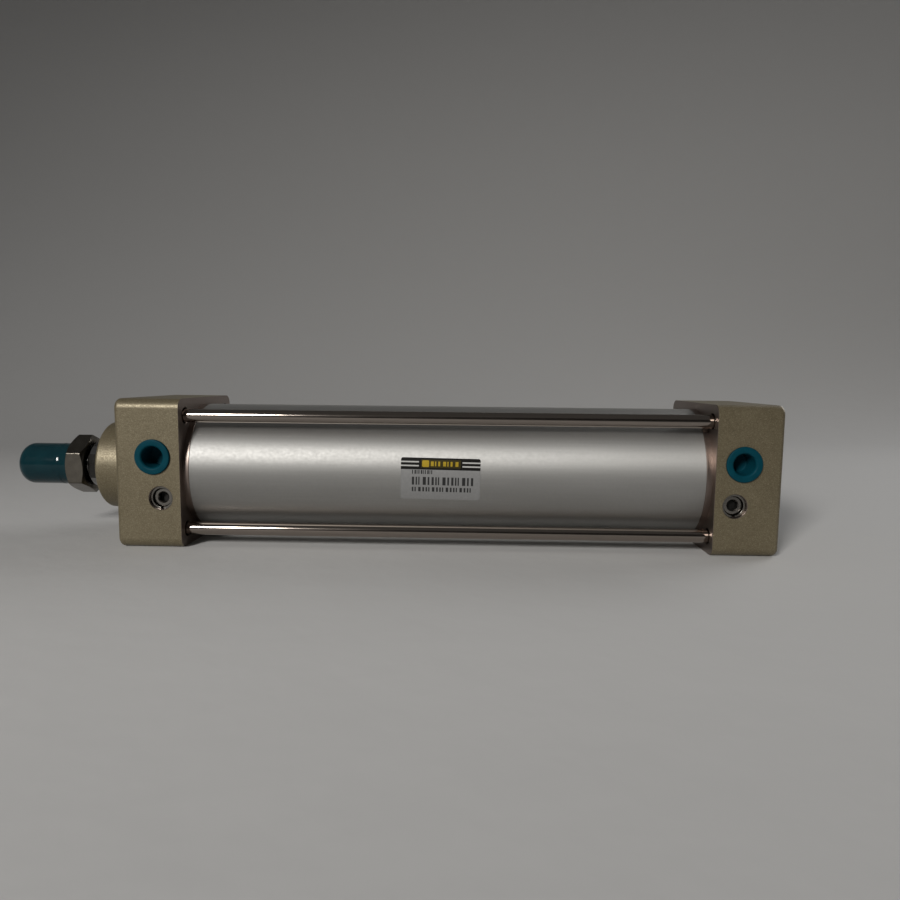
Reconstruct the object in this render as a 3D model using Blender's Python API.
"""A double-acting, cushioned, tie-rod pneumatic cylinder: 50 mm bore, 175 mm stroke, retracted.

Frame, in metres: X runs along the rod, which points to -X.  The origin is the centre of the rear
cover's mounting face, +Z is up, and the air ports and cushion needles face -Y.

The two covers are alike, so their pieces are placed by their depth inwards from that cover's outer
face.  Pieces that touch in the real cylinder stand CLEARANCE apart.
"""

import math
from collections import namedtuple

import bmesh
import bpy
from mathutils import Matrix

# Driving dimensions of the cylinder
BORE = 0.050
STROKE = 0.175
BARREL_DIAMETER = 0.055
BODY_LENGTH = 0.093 + STROKE
COVER_SIDE = 0.061
COVER_THICKNESS = 0.0265
CORNER_RADIUS = 0.004
RIM_RADIUS = 0.0018
NOSE_LENGTH = 0.015
NOSE_DIAMETER = 0.038
ROD_DIAMETER = 0.020
ROD_THREAD_DIAMETER = 0.016
ROD_REACH = 0.039
TIE_ROD_SPACING = 0.047
TIE_ROD_DIAMETER = 0.0055
CLEARANCE = 0.0003

# Inside the covers, as depths from the outer face
COLLAR_RADIUS = BARREL_DIAMETER / 2 + 0.0001
COLLAR_LENGTH = 0.0024
SPIGOT_LENGTH = 0.005
SPIGOT_RADIUS = BORE / 2 - 0.0004
COLLAR_END = COVER_THICKNESS + COLLAR_LENGTH
SPIGOT_END = COLLAR_END + SPIGOT_LENGTH
BARREL_SEAL_SECTION = 0.0009
BARREL_SEAL_GROOVE_RADIUS = SPIGOT_RADIUS - 2 * BARREL_SEAL_SECTION - CLEARANCE
CAVITY_RADIUS = 0.014
CAVITY_FLOOR = 0.0095
CUSHION_SEAL_RADIUS = 0.0155
CUSHION_SEAL_LENGTH = 0.0036
CUSHION_MOUTH_RADIUS = 0.0135
CUSHION_LIP = 0.0009

# In the front cover and its nose; depths in front of the outer face are negative
CHAMBER_FLOOR = 0.010
BUSH_RADIUS = 0.012
BUSH_INNER = ROD_DIAMETER / 2 + 0.00035
BUSH_FRONT = -0.0075
WIPER_RADIUS = 0.0137
WIPER_BACK = BUSH_FRONT - CLEARANCE

# Ports and cushion needles, on the -Y face of each cover; their own depths are from that face
PORT_DEPTH = 0.0155
PORT_HEIGHT = 0.007
PORT_RADIUS = 0.0066
PORT_THREAD_LENGTH = 0.0115
PORT_PASSAGE_RADIUS = 0.003
PORT_PASSAGE_END = 0.0195
NEEDLE_DEPTH = 0.0183
NEEDLE_HEIGHT = -0.00985
NEEDLE_RECESS_RADIUS = 0.0048
NEEDLE_RECESS_LENGTH = 0.0066
NEEDLE_BORE_RADIUS = 0.0034
NEEDLE_BORE_END = 0.016
NEEDLE_SEAT_RADIUS = 0.0012
NEEDLE_SEAT_END = 0.022
NEEDLE_SOCKET = 0.004
NEEDLE_SOCKET_LENGTH = 0.003
NEEDLE_TOP = 0.0027
NEEDLE_HEAD_RADIUS = 0.0043
NEEDLE_HEAD_END = 0.0063
NEEDLE_SHANK_RADIUS = 0.00305
NEEDLE_SHANK_END = 0.0144
NEEDLE_GROOVE_RADIUS = 0.0021
NEEDLE_CONE_RADIUS = 0.0015
NEEDLE_TIP_RADIUS = 0.0003
NEEDLE_TIP = 0.0168
NEEDLE_SEAL_MIDDLE = 0.0122
NEEDLE_SEAL_SECTION = 0.0004
CLIP_TOP = 0.0014
CLIP_THICKNESS = 0.0008
CLIP_INNER, CLIP_OUTER = 0.0039, 0.0053
CLIP_GAP = 0.0014
PLUG_TOP = -0.001
PLUG_SEAT = -0.0002
PLUG_END = 0.009
PLUG_FLOOR = 0.0078
PLUG_FLANGE_RADIUS = 0.00725
PLUG_HOLE_RADIUS = 0.0044

# Tie-rod nuts, in counterbores of the outer faces
TIE_NUT_RADIUS = 0.0048
TIE_NUT_LENGTH = 0.014
TIE_NUT_SOCKET = 0.0064
TIE_NUT_SOCKET_LENGTH = 0.0045
TIE_NUT_THREAD_RADIUS = 0.00255
TIE_NUT_THREAD_END = 0.0102
TIE_NUT_ROD_HOLE_RADIUS = 0.0031
COUNTERBORE_RADIUS = 0.0052
TIE_ROD_HOLE_RADIUS = 0.0033

# Piston, and what is clamped with it on the rear end of the rod
PISTON_RADIUS = BORE / 2 - 0.0006
PISTON_LENGTH = BODY_LENGTH - 2 * SPIGOT_END - STROKE - 2 * CLEARANCE
SEAL_LAND = 0.0018
FRONT_HALF_LENGTH = 0.0119
REAR_FLANGE_LENGTH = 0.0079
MAGNET_LENGTH = 0.0042
MAGNET_INNER, MAGNET_OUTER = 0.015, 0.0225
ROD_TAIL_RADIUS = 0.006
SLEEVE_SEAT_RADIUS = 0.008
SLEEVE_RADIUS = 0.012
FRONT_SLEEVE_LENGTH = 0.016
REAR_SLEEVE_LENGTH = 0.0097
PISTON_NUT_FLATS = 0.018
PISTON_NUT_LENGTH = 0.0067
PISTON_SEAL_GROOVE = 0.0036
PISTON_SEAL_RADIUS = BORE / 2 - 0.00035
PISTON_GROOVE_RADIUS = 0.0205
WEAR_GROOVE_START = 0.0066
WEAR_RING_GROOVE = 0.0042
WEAR_GROOVE_RADIUS = 0.0225
WEAR_RING_GAP = 0.0008

# Rod end: the thread and its relief reach back to a shoulder, and the nut stands on that thread
ROD_THREAD_REACH = 0.031
ROD_THREAD_CHAMFER = 0.0018
THREAD_PLAY = 0.00015
NUT_TO_SHOULDER = 0.001
NUT_FLATS = 0.023
NUT_LENGTH = 0.008
NUT_TURN = math.radians(3.5)
THREAD_RELIEF = 0.0015
THREAD_RELIEF_RADIUS = 0.007
ROD_FLATS = 0.017
ROD_FLATS_LENGTH = 0.0075
CAP_RADIUS = 0.0092
CAP_WALL = 0.0008
CAP_DOME = 0.005
CAP_TIP = 0.0018

# Label, bent round the -Y side of the barrel; its angles are measured upwards from -Y
LABEL_RADIUS = BARREL_DIAMETER / 2 + 0.00025
LABEL_THICKNESS = 0.00025
LABEL_LEFT, LABEL_RIGHT = -0.1522, -0.1199
LABEL_TOP, LABEL_BOTTOM = math.radians(16), math.radians(-20)

# How far a cutting tool reaches past the face it enters
PAST = 0.001

# Facets around a full turn, coarse where a piece is hidden or small
FINE, MEDIUM, SMALL, COARSE = 40, 24, 16, 12
MERGE = 1e-6
SHARP = math.radians(35)

QUARTER_TURN = math.radians(90)
HEX_CORNER = math.radians(30)
NUT_CHAMFER = math.radians(30)

REAR_FACE = 0.0
FRONT_FACE = -BODY_LENGTH
NOSE_FRONT = FRONT_FACE - NOSE_LENGTH
ROD_END = NOSE_FRONT - ROD_REACH
ROD_SHOULDER = ROD_END + ROD_THREAD_REACH
NUT_REAR = ROD_SHOULDER - NUT_TO_SHOULDER
NUT_FRONT = NUT_REAR - NUT_LENGTH

# A cover's outer face, and the direction along X from that face into the cylinder
End = namedtuple("End", "name face inwards")
FRONT = End("front", FRONT_FACE, 1)
REAR = End("rear", REAR_FACE, -1)


def station(end, depth):
    """The X of a point this deep behind a cover's outer face."""
    return end.face + end.inwards * depth


# ---------------------------------------------------------------- modelling tools


def material(name, colour, metallic, roughness):
    made = bpy.data.materials.new(name)
    made.use_nodes = True
    shader = made.node_tree.nodes["Principled BSDF"]
    shader.inputs["Base Color"].default_value = (*colour, 1)
    shader.inputs["Metallic"].default_value = metallic
    shader.inputs["Roughness"].default_value = roughness
    made.diffuse_color = (*colour, 1)
    return made


def group(name, parent=None, location=(0, 0, 0)):
    """An empty that pieces which move together hang on."""
    empty = bpy.data.objects.new(name, None)
    empty.empty_display_size = 0.01
    empty.location = location
    empty.parent = parent
    bpy.context.scene.collection.objects.link(empty)
    return empty


def add_object(name, bm, finish=None, parent=None, location=(0, 0, 0), turn=0.0):
    """Turns a bmesh into a named object; turn is its angle about Z."""
    bmesh.ops.remove_doubles(bm, verts=bm.verts[:], dist=MERGE)
    bmesh.ops.recalc_face_normals(bm, faces=bm.faces[:])
    mesh = bpy.data.meshes.new(name)
    bm.to_mesh(mesh)
    bm.free()
    mesh.shade_smooth()
    mesh.set_sharp_from_angle(angle=SHARP)
    if finish:
        mesh.materials.append(finish)
    obj = bpy.data.objects.new(name, mesh)
    obj.location = location
    obj.rotation_euler.z = turn
    obj.parent = parent
    bpy.context.scene.collection.objects.link(obj)
    return obj


def turned(name, profile, steps, finish=None, **placing):
    """A solid of revolution about local X, from (station, radius) points.

    A profile that starts on the axis is open and ends on it; any other one is a closed loop.
    """
    bm = bmesh.new()
    points = [bm.verts.new((at, 0, radius)) for at, radius in profile]
    loop = points + points[:1] if profile[0][1] > 0 else points
    edges = [bm.edges.new(pair) for pair in zip(loop, loop[1:])]
    along_x, full_turn = dict(axis=(1, 0, 0), cent=(0, 0, 0)), 2 * math.pi
    bmesh.ops.spin(bm, geom=points + edges, **along_x, angle=full_turn, steps=steps, use_merge=True)
    return add_object(name, bm, finish, **placing)


def rod_shape(name, steps_along, steps, finish=None, **placing):
    """A stepped solid bar: (from, to, radius) stretches along local X."""
    profile = [(steps_along[0][0], 0)]
    for start, stop, radius in steps_along:
        profile += [(start, radius), (stop, radius)]
    profile.append((steps_along[-1][1], 0))
    return turned(name, profile, steps, finish, **placing)


def ring(name, start, stop, inner, outer, steps, finish=None, **placing):
    """A plain ring of square section."""
    profile = [(start, outer), (stop, outer), (stop, inner), (start, inner)]
    return turned(name, profile, steps, finish, **placing)


def round_ring(name, middle, radius, section, steps, sides, finish=None, **placing):
    """An O-ring: a round section of this radius, turned at this radius."""
    angles = [2 * math.pi * side / sides for side in range(sides)]
    profile = [(middle + section * math.cos(a), radius + section * math.sin(a)) for a in angles]
    return turned(name, profile, steps, finish, **placing)


def arc(centre, radius, first, last, steps):
    """Profile points along an arc, with angles in degrees from +X towards growing radius."""
    angles = [math.radians(first + (last - first) * step / steps) for step in range(steps + 1)]
    return [(centre[0] + radius * math.cos(a), centre[1] + radius * math.sin(a)) for a in angles]


def hexagon(name, start, stop, across_flats, finish=None, roll=0.0, **placing):
    """A hexagonal bar along local X, with a flat towards -Y when roll is 0."""
    bm = bmesh.new()
    corner_radius = across_flats / 2 / math.cos(HEX_CORNER)
    lay_along_x = Matrix.Rotation(roll + HEX_CORNER, 4, "X") @ Matrix.Rotation(QUARTER_TURN, 4, "Y")
    bmesh.ops.create_circle(bm, cap_ends=True, radius=corner_radius, segments=6, matrix=lay_along_x)
    bmesh.ops.translate(bm, verts=bm.verts[:], vec=(start, 0, 0))
    side = bmesh.ops.extrude_face_region(bm, geom=bm.faces[:])
    moved = [item for item in side["geom"] if isinstance(item, bmesh.types.BMVert)]
    bmesh.ops.translate(bm, verts=moved, vec=(stop - start, 0, 0))
    return add_object(name, bm, finish, **placing)


def block(name, low, high, finish=None, **placing):
    """A box between two corners."""
    bm = bmesh.new()
    bmesh.ops.create_cube(bm, size=1)
    size = [b - a for a, b in zip(low, high)]
    centre = [(a + b) / 2 for a, b in zip(low, high)]
    bmesh.ops.scale(bm, verts=bm.verts[:], vec=size)
    bmesh.ops.translate(bm, verts=bm.verts[:], vec=centre)
    return add_object(name, bm, finish, **placing)


def combine(obj, tool, operation="DIFFERENCE"):
    """Cuts, joins or trims an object with another, which is then only a hidden tool."""
    tool.hide_render = True
    tool.display_type = "WIRE"
    change = obj.modifiers.new(tool.name, "BOOLEAN")
    change.object = tool
    change.operation = operation
    change.solver = "EXACT"


# ---------------------------------------------------------------- covers


def cover_block(name, end, finish, parent):
    """The square casting: rounded along X, and round its outer rim; the inner face is machined."""
    bm = bmesh.new()
    bmesh.ops.create_cube(bm, size=1)
    bmesh.ops.scale(bm, verts=bm.verts[:], vec=(COVER_THICKNESS, COVER_SIDE, COVER_SIDE))
    bmesh.ops.translate(bm, verts=bm.verts[:], vec=(station(end, COVER_THICKNESS / 2), 0, 0))
    long_edges = [edge for edge in bm.edges if edge.verts[0].co.x != edge.verts[1].co.x]
    bmesh.ops.bevel(bm, geom=long_edges, offset=CORNER_RADIUS, segments=5, profile=0.5, affect="EDGES")
    rim = [edge for edge in bm.edges if all(abs(v.co.x - end.face) < MERGE for v in edge.verts)]
    bmesh.ops.bevel(bm, geom=rim, offset=RIM_RADIUS, segments=3, profile=0.5, affect="EDGES")
    return add_object(name, bm, finish, parent)


def spigot(end):
    """The machined collar that the barrel butts on, and the grooved spigot that enters the barrel."""
    groove = spigot_groove()
    inside = COVER_THICKNESS - CORNER_RADIUS
    profile = [
        (inside, 0),
        (inside, COLLAR_RADIUS),
        (COLLAR_END, COLLAR_RADIUS),
        (COLLAR_END, SPIGOT_RADIUS),
        (groove[0], SPIGOT_RADIUS),
        (groove[0], BARREL_SEAL_GROOVE_RADIUS),
        (groove[1], BARREL_SEAL_GROOVE_RADIUS),
        (groove[1], SPIGOT_RADIUS),
        (SPIGOT_END, SPIGOT_RADIUS),
        (SPIGOT_END, 0),
    ]
    placed = [(station(end, at), radius) for at, radius in profile]
    return turned(f"{end.name}_spigot_tool", placed, FINE)


def spigot_groove():
    """Where the barrel's O-ring sits on the spigot."""
    middle = COLLAR_END + SPIGOT_LENGTH / 2
    reach = BARREL_SEAL_SECTION + CLEARANCE
    return middle - reach, middle + reach


def cushion_groove():
    """Where the cushion seal snaps in, behind the lip at the spigot's mouth."""
    stop = SPIGOT_END - CUSHION_LIP
    return stop - CUSHION_SEAL_LENGTH - 2 * CLEARANCE, stop


def cavity_profile(floor):
    """The bore that the cushion sleeve enters: a chamber, the seal's groove and the mouth."""
    groove = cushion_groove()
    seal_seat = CUSHION_SEAL_RADIUS + CLEARANCE
    beyond = SPIGOT_END + PAST
    return [
        (floor, CAVITY_RADIUS),
        (groove[0], CAVITY_RADIUS),
        (groove[0], seal_seat),
        (groove[1], seal_seat),
        (groove[1], CUSHION_MOUTH_RADIUS),
        (beyond, CUSHION_MOUTH_RADIUS),
        (beyond, 0),
    ]


def side_hole(name, end, depth, height, stretches, steps):
    """A stepped hole bored into the -Y face; stretches are (from, to, radius) below that face."""
    place = (station(end, depth), -COVER_SIDE / 2, height)
    return rod_shape(name, stretches, steps, location=place, turn=QUARTER_TURN)


def bore_port(cover, end):
    stretches = [
        (-PAST, PORT_THREAD_LENGTH, PORT_RADIUS),
        (PORT_THREAD_LENGTH, PORT_PASSAGE_END, PORT_PASSAGE_RADIUS),
    ]
    combine(cover, side_hole(f"{end.name}_port_tool", end, PORT_DEPTH, PORT_HEIGHT, stretches, MEDIUM))


def bore_needle(cover, end):
    groove = CLIP_TOP - CLEARANCE, CLIP_TOP + CLIP_THICKNESS + CLEARANCE
    stretches = [
        (-PAST, groove[0], NEEDLE_RECESS_RADIUS),
        (groove[0], groove[1], CLIP_OUTER + CLEARANCE),
        (groove[1], NEEDLE_RECESS_LENGTH, NEEDLE_RECESS_RADIUS),
        (NEEDLE_RECESS_LENGTH, NEEDLE_BORE_END, NEEDLE_BORE_RADIUS),
        (NEEDLE_BORE_END, NEEDLE_SEAT_END, NEEDLE_SEAT_RADIUS),
    ]
    combine(cover, side_hole(f"{end.name}_needle_tool", end, NEEDLE_DEPTH, NEEDLE_HEIGHT, stretches, SMALL))


def tie_rod_places():
    """The (Y, Z) of each tie rod, clockwise from the top of the port side."""
    reach = TIE_ROD_SPACING / 2
    return [(-reach, reach), (reach, reach), (reach, -reach), (-reach, -reach)]


def bore_tie_rods(cover, end):
    """A counterbore for the nut, then a clearance hole for the rod, at each corner."""
    counterbore_end = TIE_NUT_LENGTH + 2 * CLEARANCE
    through = COVER_THICKNESS + PAST
    stretches = [
        (-PAST, counterbore_end, COUNTERBORE_RADIUS),
        (counterbore_end, through, TIE_ROD_HOLE_RADIUS),
    ]
    placed = [(station(end, start), station(end, stop), radius) for start, stop, radius in stretches]
    for number, (y, z) in enumerate(tie_rod_places(), 1):
        tool = rod_shape(f"{end.name}_tie_rod_tool_{number}", placed, COARSE, location=(0, y, z))
        combine(cover, tool)


def rear_cover(finish, parent):
    cover = cover_block("rear_cover", REAR, finish, parent)
    combine(cover, spigot(REAR), "UNION")
    profile = [(CAVITY_FLOOR, 0), *cavity_profile(CAVITY_FLOOR)]
    placed = [(station(REAR, at), radius) for at, radius in profile]
    combine(cover, turned("rear_cavity_tool", placed, MEDIUM))
    bore_port(cover, REAR)
    bore_needle(cover, REAR)
    bore_tie_rods(cover, REAR)


def front_cover(finish, parent):
    cover = cover_block("front_cover", FRONT, finish, parent)
    edge = 0.0012
    nose_radius = NOSE_DIAMETER / 2
    nose = [
        (station(FRONT, COVER_THICKNESS / 2), 0),
        (station(FRONT, COVER_THICKNESS / 2), nose_radius),
        *arc((NOSE_FRONT + edge, nose_radius - edge), edge, 90, 180, 3),
        (NOSE_FRONT, 0),
    ]
    combine(cover, turned("nose_tool", nose, FINE), "UNION")
    combine(cover, spigot(FRONT), "UNION")
    bush_seat = BUSH_RADIUS + CLEARANCE
    wiper_seat = WIPER_RADIUS + CLEARANCE
    profile = [
        (-NOSE_LENGTH - PAST, 0),
        (-NOSE_LENGTH - PAST, wiper_seat),
        (WIPER_BACK, wiper_seat),
        (WIPER_BACK, bush_seat),
        (CHAMBER_FLOOR, bush_seat),
        *cavity_profile(CHAMBER_FLOOR),
    ]
    placed = [(station(FRONT, at), radius) for at, radius in profile]
    combine(cover, turned("front_cavity_tool", placed, MEDIUM))
    bore_port(cover, FRONT)
    bore_needle(cover, FRONT)
    bore_tie_rods(cover, FRONT)


# ---------------------------------------------------------------- barrel, tie rods and what the covers hold


def barrel(finish, parent):
    gap = COLLAR_END + CLEARANCE
    low, high = station(FRONT, gap), station(REAR, gap)
    ring("barrel", low, high, BORE / 2, BARREL_DIAMETER / 2, FINE, finish, parent=parent)


def tie_rods(finish, parent):
    """Four plain rods, with chamfered ends inside the nuts."""
    end_depth = TIE_NUT_THREAD_END + CLEARANCE
    low, high = station(FRONT, end_depth), station(REAR, end_depth)
    radius = TIE_ROD_DIAMETER / 2
    chamfer = 0.0006
    profile = [
        (low, 0),
        (low, radius - chamfer),
        (low + chamfer, radius),
        (high - chamfer, radius),
        (high, radius - chamfer),
        (high, 0),
    ]
    for number, (y, z) in enumerate(tie_rod_places(), 1):
        turned(f"tie_rod_{number}", profile, COARSE, finish, parent=parent, location=(0, y, z))


def tie_rod_nuts(finish, parent):
    """Round nuts, flush in the covers: a hex socket and a mounting thread outside, the tie rod inside."""
    for end in (FRONT, REAR):
        outer, inner = station(end, CLEARANCE), station(end, CLEARANCE + TIE_NUT_LENGTH)
        step = station(end, TIE_NUT_THREAD_END)
        chamfer = 0.0005 * end.inwards
        profile = [
            (outer, TIE_NUT_THREAD_RADIUS),
            (outer, TIE_NUT_RADIUS - abs(chamfer)),
            (outer + chamfer, TIE_NUT_RADIUS),
            (inner, TIE_NUT_RADIUS),
            (inner, TIE_NUT_ROD_HOLE_RADIUS),
            (step, TIE_NUT_ROD_HOLE_RADIUS),
            (step, TIE_NUT_THREAD_RADIUS),
        ]
        socket = station(end, -PAST), station(end, TIE_NUT_SOCKET_LENGTH)
        for number, (y, z) in enumerate(tie_rod_places(), 1):
            name = f"{end.name}_tie_nut_{number}"
            nut = turned(name, profile, COARSE, finish, parent=parent, location=(0, y, z))
            combine(nut, hexagon(f"{name}_socket_tool", *socket, TIE_NUT_SOCKET, location=(0, y, z)))


def barrel_seals(finish, parent):
    radius = SPIGOT_RADIUS - BARREL_SEAL_SECTION
    for end in (FRONT, REAR):
        middle = station(end, sum(spigot_groove()) / 2)
        name = f"{end.name}_barrel_o_ring"
        round_ring(name, middle, radius, BARREL_SEAL_SECTION, MEDIUM, 6, finish, parent=parent)


def cushion_seals(finish, parent):
    """Lipped rings that close on the cushion sleeves near each end of the stroke."""
    play = 0.0004
    inner = SLEEVE_RADIUS + play
    lip = 0.0012
    for end in (FRONT, REAR):
        start = cushion_groove()[0] + CLEARANCE
        stop = start + CUSHION_SEAL_LENGTH
        profile = [
            (start, CUSHION_SEAL_RADIUS),
            (stop, CUSHION_SEAL_RADIUS),
            (stop, inner),
            (stop - lip, inner),
            (start, CAVITY_RADIUS - play),
        ]
        placed = [(station(end, at), radius) for at, radius in profile]
        turned(f"{end.name}_cushion_seal", placed, MEDIUM, finish, parent=parent)


def rod_guide(bronze, rubber, parent):
    """The bush that carries the rod, and the wiper that fills the nose's mouth."""
    back = station(FRONT, CHAMBER_FLOOR)
    front = station(FRONT, BUSH_FRONT)
    ring("rod_bush", front, back, BUSH_INNER, BUSH_RADIUS, MEDIUM, bronze, parent=parent)
    wiper_back = station(FRONT, WIPER_BACK) - CLEARANCE
    wiper_front = NOSE_FRONT
    lip = 0.0009
    profile = [
        (wiper_back, WIPER_RADIUS),
        (wiper_back, BUSH_INNER + lip),
        (wiper_front + lip, BUSH_INNER + lip),
        (wiper_front, BUSH_INNER),
        (wiper_front - lip, BUSH_INNER),
        (wiper_front, BUSH_INNER + 2 * lip),
        (wiper_front, WIPER_RADIUS),
    ]
    turned("rod_wiper", profile, MEDIUM, rubber, parent=parent)


def label(finish, parent):
    """A thin sheet bent round the barrel, on its -Y side; its angles are measured up from -Y."""
    steps = 8
    bm = bmesh.new()
    shell = []
    for step in range(steps + 1):
        angle = LABEL_BOTTOM + (LABEL_TOP - LABEL_BOTTOM) * step / steps
        for radius in (LABEL_RADIUS, LABEL_RADIUS + LABEL_THICKNESS):
            y, z = -radius * math.cos(angle), radius * math.sin(angle)
            shell.append([bm.verts.new((x, y, z)) for x in (LABEL_LEFT, LABEL_RIGHT)])
    inner, outer = shell[0::2], shell[1::2]
    for rows in (inner, outer):
        for (a, b), (c, d) in zip(rows, rows[1:]):
            bm.faces.new((a, b, d, c))
    for side in (0, 1):
        for row in range(steps):
            bm.faces.new((inner[row][side], inner[row + 1][side], outer[row + 1][side], outer[row][side]))
    for row in (0, steps):
        bm.faces.new((*inner[row], *reversed(outer[row])))
    add_object("label", bm, finish, parent=parent)


# ---------------------------------------------------------------- port plugs and cushion needles


def port_plug(end, finish, parent):
    """A hollow push-in dust plug: a rounded flange, and a tapered cup in the port."""
    edge = 0.0004
    mouth = PORT_RADIUS - 0.0004
    profile = [
        (PLUG_FLOOR, 0),
        (PLUG_FLOOR, PLUG_HOLE_RADIUS - edge),
        (PLUG_TOP + edge, PLUG_HOLE_RADIUS),
        (PLUG_TOP, PLUG_HOLE_RADIUS + edge),
        (PLUG_TOP, PLUG_FLANGE_RADIUS - edge),
        (PLUG_TOP + edge, PLUG_FLANGE_RADIUS),
        (PLUG_SEAT, PLUG_FLANGE_RADIUS),
        (PLUG_SEAT, mouth),
        (PLUG_END - edge, mouth - edge),
        (PLUG_END, mouth - 2 * edge),
        (PLUG_END, 0),
    ]
    turned(f"{end.name}_port_plug", profile, MEDIUM, finish, parent=parent, turn=QUARTER_TURN)


def cushion_needle(end, finish, parent):
    """The screw that throttles the cushion: a socket head, a shank with an O-ring groove, and a cone."""
    chamfer = 0.0006
    reach = NEEDLE_SEAL_SECTION + CLEARANCE
    profile = [
        (NEEDLE_TOP, 0),
        (NEEDLE_TOP, NEEDLE_HEAD_RADIUS - chamfer),
        (NEEDLE_TOP + chamfer, NEEDLE_HEAD_RADIUS),
        (NEEDLE_HEAD_END, NEEDLE_HEAD_RADIUS),
        (NEEDLE_HEAD_END, NEEDLE_SHANK_RADIUS),
        (NEEDLE_SEAL_MIDDLE - reach, NEEDLE_SHANK_RADIUS),
        (NEEDLE_SEAL_MIDDLE - reach, NEEDLE_GROOVE_RADIUS),
        (NEEDLE_SEAL_MIDDLE + reach, NEEDLE_GROOVE_RADIUS),
        (NEEDLE_SEAL_MIDDLE + reach, NEEDLE_SHANK_RADIUS),
        (NEEDLE_SHANK_END, NEEDLE_SHANK_RADIUS),
        (NEEDLE_SHANK_END, NEEDLE_CONE_RADIUS),
        (NEEDLE_TIP, NEEDLE_TIP_RADIUS),
        (NEEDLE_TIP, 0),
    ]
    name = f"{end.name}_cushion_needle"
    needle = turned(name, profile, COARSE, finish, parent=parent, turn=QUARTER_TURN)
    floor = NEEDLE_TOP + NEEDLE_SOCKET_LENGTH
    combine(needle, hexagon(f"{name}_socket_tool", 0, floor, NEEDLE_SOCKET, parent=parent, turn=QUARTER_TURN))


def needle_seal(end, finish, parent):
    radius = NEEDLE_GROOVE_RADIUS + CLEARANCE + NEEDLE_SEAL_SECTION
    place = dict(parent=parent, turn=QUARTER_TURN)
    name = f"{end.name}_needle_o_ring"
    round_ring(name, NEEDLE_SEAL_MIDDLE, radius, NEEDLE_SEAL_SECTION, COARSE, 6, finish, **place)


def needle_clip(end, finish, parent):
    """The C-shaped retaining ring above the needle's head, open at the bottom."""
    mouth = (station(end, NEEDLE_DEPTH), -COVER_SIDE / 2, NEEDLE_HEIGHT)
    place = dict(parent=parent, location=mouth, turn=QUARTER_TURN)
    name = f"{end.name}_needle_clip"
    clip_end = CLIP_TOP + CLIP_THICKNESS
    clip = ring(name, CLIP_TOP, clip_end, CLIP_INNER, CLIP_OUTER, SMALL, finish, **place)
    low = (0, -CLIP_GAP / 2, -2 * CLIP_OUTER)
    high = (clip_end + PAST, CLIP_GAP / 2, 0)
    gap = block(f"{name}_gap_tool", low, high, **place)
    combine(clip, gap)


# ---------------------------------------------------------------- piston and rod


def piston_stations():
    """The front and rear faces of the piston, with the cylinder retracted."""
    rear = station(REAR, SPIGOT_END + CLEARANCE)
    return rear - PISTON_LENGTH, rear


def piston_half(name, face, inwards, length, extra, finish, parent):
    """One disc of the piston, with its seal groove; extra holds the rest of its outline, from the face."""
    groove = SEAL_LAND, SEAL_LAND + PISTON_SEAL_GROOVE
    hole = ROD_TAIL_RADIUS + CLEARANCE
    profile = [
        (0, hole),
        (0, PISTON_RADIUS),
        (groove[0], PISTON_RADIUS),
        (groove[0], PISTON_GROOVE_RADIUS),
        (groove[1], PISTON_GROOVE_RADIUS),
        (groove[1], PISTON_RADIUS),
        *extra,
        (length, hole),
    ]
    turned(name, [(face + inwards * at, radius) for at, radius in profile], MEDIUM, finish, parent=parent)


def piston(aluminium, ferrite, parent):
    """Two aluminium discs, with the ring magnet held between them on the rear disc's hub."""
    front, rear = piston_stations()
    wear_groove_end = WEAR_GROOVE_START + WEAR_RING_GROOVE
    front_outline = [
        (WEAR_GROOVE_START, PISTON_RADIUS),
        (WEAR_GROOVE_START, WEAR_GROOVE_RADIUS),
        (wear_groove_end, WEAR_GROOVE_RADIUS),
        (wear_groove_end, PISTON_RADIUS),
        (FRONT_HALF_LENGTH, PISTON_RADIUS),
    ]
    hub_length = PISTON_LENGTH - FRONT_HALF_LENGTH - CLEARANCE
    hub = MAGNET_INNER - CLEARANCE
    rear_outline = [
        (REAR_FLANGE_LENGTH, PISTON_RADIUS),
        (REAR_FLANGE_LENGTH, hub),
        (hub_length, hub),
    ]
    piston_half("piston_front_half", front, 1, FRONT_HALF_LENGTH, front_outline, aluminium, parent)
    piston_half("piston_rear_half", rear, -1, hub_length, rear_outline, aluminium, parent)
    magnet_start = front + FRONT_HALF_LENGTH + CLEARANCE
    magnet_end = magnet_start + MAGNET_LENGTH
    magnet = magnet_start, magnet_end, MAGNET_INNER, MAGNET_OUTER
    ring("piston_magnet", *magnet, MEDIUM, ferrite, parent=parent)


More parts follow.
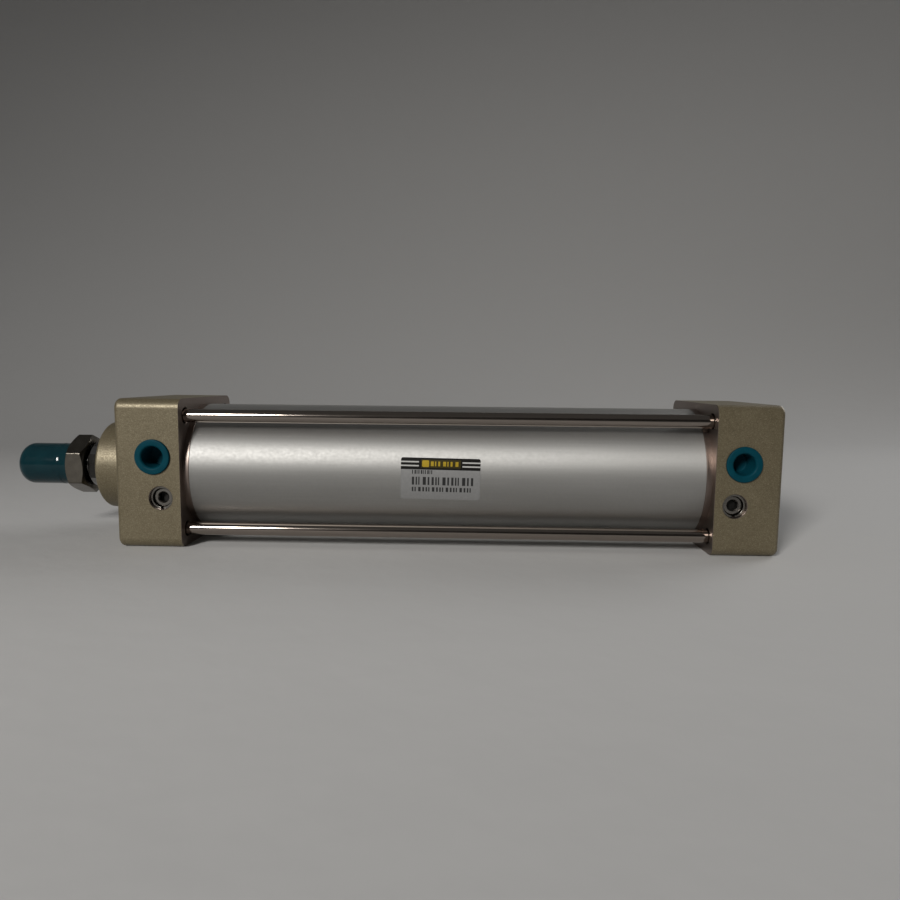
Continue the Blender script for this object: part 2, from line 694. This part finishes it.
def piston_seals(rubber, plastic, parent):
    """Two lip seals that face away from each other, and the split wear ring between them."""
    front, rear = piston_stations()
    inner = PISTON_GROOVE_RADIUS + CLEARANCE
    start = SEAL_LAND + CLEARANCE
    stop = SEAL_LAND + PISTON_SEAL_GROOVE - CLEARANCE
    lip = 0.0012
    profile = [
        (start, PISTON_SEAL_RADIUS),
        (stop, PISTON_SEAL_RADIUS - lip / 2),
        (stop, inner),
        (start, inner),
        (start + lip, (inner + PISTON_SEAL_RADIUS) / 2),
    ]
    for name, face, inwards in (("front_piston_seal", front, 1), ("rear_piston_seal", rear, -1)):
        turned(name, [(face + inwards * at, radius) for at, radius in profile], MEDIUM, rubber, parent=parent)
    ring_start = front + WEAR_GROOVE_START + CLEARANCE
    ring_end = front + WEAR_GROOVE_START + WEAR_RING_GROOVE - CLEARANCE
    ring_inner = WEAR_GROOVE_RADIUS + CLEARANCE
    section = ring_start, ring_end, ring_inner, PISTON_SEAL_RADIUS
    wear_ring = ring("wear_ring", *section, MEDIUM, plastic, parent=parent)
    low = (front, -WEAR_RING_GAP / 2, 0)
    high = (rear, WEAR_RING_GAP / 2, BORE)
    combine(wear_ring, block("wear_ring_gap_tool", low, high))


def rear_sleeve_stations():
    rear = piston_stations()[1] + CLEARANCE
    return rear, rear + REAR_SLEEVE_LENGTH


def piston_nut_stations():
    start = rear_sleeve_stations()[1] + CLEARANCE
    return start, start + PISTON_NUT_LENGTH


def cushion_sleeves(finish, parent):
    """Polished sleeves with a tapered nose, which close the cushion seals."""
    front = piston_stations()[0] - CLEARANCE
    taper, nose_drop = 0.003, 0.001
    sleeves = (
        ("front_cushion_sleeve", front, front - FRONT_SLEEVE_LENGTH, SLEEVE_SEAT_RADIUS + CLEARANCE),
        ("rear_cushion_sleeve", *rear_sleeve_stations(), ROD_TAIL_RADIUS + CLEARANCE),
    )
    for name, base, tip, inner in sleeves:
        towards_base = taper if base > tip else -taper
        profile = [
            (base, inner),
            (base, SLEEVE_RADIUS),
            (tip + towards_base, SLEEVE_RADIUS),
            (tip, SLEEVE_RADIUS - nose_drop),
            (tip, inner),
        ]
        turned(name, profile, MEDIUM, finish, parent=parent)


def piston_nut(finish, parent):
    start, stop = piston_nut_stations()
    nut = hexagon("piston_nut", start, stop, PISTON_NUT_FLATS, finish, parent=parent)
    through = start - PAST, stop + PAST, ROD_TAIL_RADIUS + CLEARANCE
    combine(nut, rod_shape("piston_nut_bore_tool", [through], MEDIUM))


def piston_rod(finish, parent):
    """Thread, relief, guided length with its wrench flats, and the seats for the sleeve and the piston."""
    radius = ROD_DIAMETER / 2
    thread = ROD_THREAD_DIAMETER / 2 - THREAD_PLAY
    edge = 0.0006
    sleeve_seat = piston_stations()[0] - 2 * CLEARANCE - FRONT_SLEEVE_LENGTH
    tail = piston_stations()[0] - CLEARANCE
    tail_past_nut = 0.0015
    tail_end = piston_nut_stations()[1] + tail_past_nut
    profile = [
        (ROD_END, 0),
        (ROD_END, thread - ROD_THREAD_CHAMFER),
        (ROD_END + ROD_THREAD_CHAMFER, thread),
        (ROD_SHOULDER - THREAD_RELIEF, thread),
        (ROD_SHOULDER - THREAD_RELIEF, THREAD_RELIEF_RADIUS),
        (ROD_SHOULDER, THREAD_RELIEF_RADIUS),
        (ROD_SHOULDER, radius - edge),
        (ROD_SHOULDER + edge, radius),
        (sleeve_seat, radius),
        (sleeve_seat, SLEEVE_SEAT_RADIUS),
        (tail, SLEEVE_SEAT_RADIUS),
        (tail, ROD_TAIL_RADIUS),
        (tail_end, ROD_TAIL_RADIUS),
        (tail_end, 0),
    ]
    rod = turned("piston_rod", profile, MEDIUM, finish, parent=parent)
    flats_end = ROD_SHOULDER + ROD_FLATS_LENGTH
    far = ROD_DIAMETER
    for number, side in enumerate((-1, 1), 1):
        near_y, far_y = sorted((side * ROD_FLATS / 2, side * far))
        low = (ROD_SHOULDER - THREAD_RELIEF / 2, near_y, -far)
        high = (flats_end, far_y, far)
        combine(rod, block(f"rod_flat_tool_{number}", low, high))


def rod_nut(finish, parent):
    """A thin hexagon nut, chamfered on both faces."""
    corner = NUT_FLATS / 2 / math.cos(HEX_CORNER)
    face_edge = 0.0002
    inscribed = NUT_FLATS / 2 - face_edge
    slope = (corner - inscribed) * math.tan(NUT_CHAMFER)
    middle = (NUT_FRONT + NUT_REAR) / 2
    beyond = corner + PAST
    more = slope * (beyond - inscribed) / (corner - inscribed)
    chamfers = [
        (NUT_FRONT, 0),
        (NUT_FRONT, inscribed),
        (NUT_FRONT + more, beyond),
        (middle, beyond),
        (NUT_REAR - more, beyond),
        (NUT_REAR, inscribed),
        (NUT_REAR, 0),
    ]
    nut = hexagon("rod_nut", NUT_FRONT, NUT_REAR, NUT_FLATS, finish, roll=NUT_TURN, parent=parent)
    combine(nut, turned("rod_nut_chamfer_tool", chamfers, MEDIUM), "INTERSECT")
    bore = ROD_THREAD_DIAMETER / 2 + THREAD_PLAY
    flare = 0.0008
    hole = [
        (NUT_FRONT - flare, 0),
        (NUT_FRONT - flare, bore + 2 * flare),
        (NUT_FRONT + flare, bore),
        (NUT_REAR - flare, bore),
        (NUT_REAR + flare, bore + 2 * flare),
        (NUT_REAR + flare, 0),
    ]
    combine(nut, turned("rod_nut_bore_tool", hole, MEDIUM))


def rod_end_cap(finish, parent):
    """A soft cap with a blunt dome and an even wall, pushed over the rod's thread up to the nut."""
    tip = ROD_END - CAP_TIP
    mouth = NUT_FRONT - CLEARANCE
    centre = tip + CAP_DOME, CAP_RADIUS - CAP_DOME
    inner_dome = CAP_DOME - CAP_WALL
    inner_end = ROD_END - CLEARANCE
    inner_last = math.degrees(math.acos((inner_end - centre[0]) / inner_dome))
    profile = [
        (tip, 0),
        *arc(centre, CAP_DOME, 180, 90, 7),
        (mouth, CAP_RADIUS),
        (mouth, CAP_RADIUS - CAP_WALL),
        *arc(centre, inner_dome, 90, inner_last, 4),
        (inner_end, 0),
    ]
    turned("rod_end_cap", profile, MEDIUM, finish, parent=parent)


# ---------------------------------------------------------------- the whole cylinder


def clear_scene():
    for obj in list(bpy.data.objects):
        bpy.data.objects.remove(obj)


def needle_group(end, steel, clip_steel, rubber, body):
    """The needle and its O-ring turn about the needle's axis; the retaining clip stays in the cover."""
    place = (station(end, NEEDLE_DEPTH), -COVER_SIDE / 2, NEEDLE_HEIGHT)
    axis = group(f"{end.name}_needle_axis", body, place)
    cushion_needle(end, steel, axis)
    needle_seal(end, rubber, axis)
    needle_clip(end, clip_steel, body)


def main():
    clear_scene()
    champagne = material("champagne_paint", (0.46, 0.42, 0.32), 0.35, 0.45)
    anodised = material("anodised_aluminium", (0.66, 0.66, 0.66), 0.9, 0.4)
    bright_steel = material("bright_steel", (0.62, 0.6, 0.58), 1.0, 0.15)
    nickel = material("nickel_steel", (0.5, 0.48, 0.45), 1.0, 0.3)
    aluminium = material("plain_aluminium", (0.7, 0.7, 0.72), 1.0, 0.35)
    teal_vinyl = material("teal_vinyl", (0.02, 0.16, 0.18), 0.0, 0.3)
    teal_plastic = material("teal_plastic", (0.02, 0.28, 0.34), 0.0, 0.45)
    rubber = material("black_rubber", (0.02, 0.02, 0.02), 0.0, 0.6)
    bronze = material("bronze", (0.5, 0.33, 0.15), 1.0, 0.4)
    ferrite = material("ferrite", (0.08, 0.08, 0.08), 0.2, 0.6)
    acetal = material("acetal", (0.75, 0.73, 0.68), 0.0, 0.4)
    silver_foil = material("silver_foil", (0.55, 0.55, 0.55), 0.4, 0.5)

    body = group("cylinder_body")
    front_cover(champagne, body)
    rear_cover(champagne, body)
    barrel(anodised, body)
    tie_rods(bright_steel, body)
    tie_rod_nuts(nickel, body)
    barrel_seals(rubber, body)
    cushion_seals(rubber, body)
    rod_guide(bronze, rubber, body)
    label(silver_foil, body)
    for end in (FRONT, REAR):
        needle_group(end, nickel, bright_steel, rubber, body)
        plug_place = (station(end, PORT_DEPTH), -COVER_SIDE / 2, PORT_HEIGHT)
        port_plug(end, teal_plastic, group(f"{end.name}_port_axis", body, plug_place))

    stroke = group("stroke", body)
    piston_seals(rubber, acetal, stroke)
    turning = group("rod_axis", stroke)
    piston(aluminium, ferrite, turning)
    cushion_sleeves(bright_steel, turning)
    piston_nut(nickel, turning)
    piston_rod(bright_steel, turning)
    rod_nut(nickel, turning)
    rod_end_cap(teal_vinyl, turning)


main()
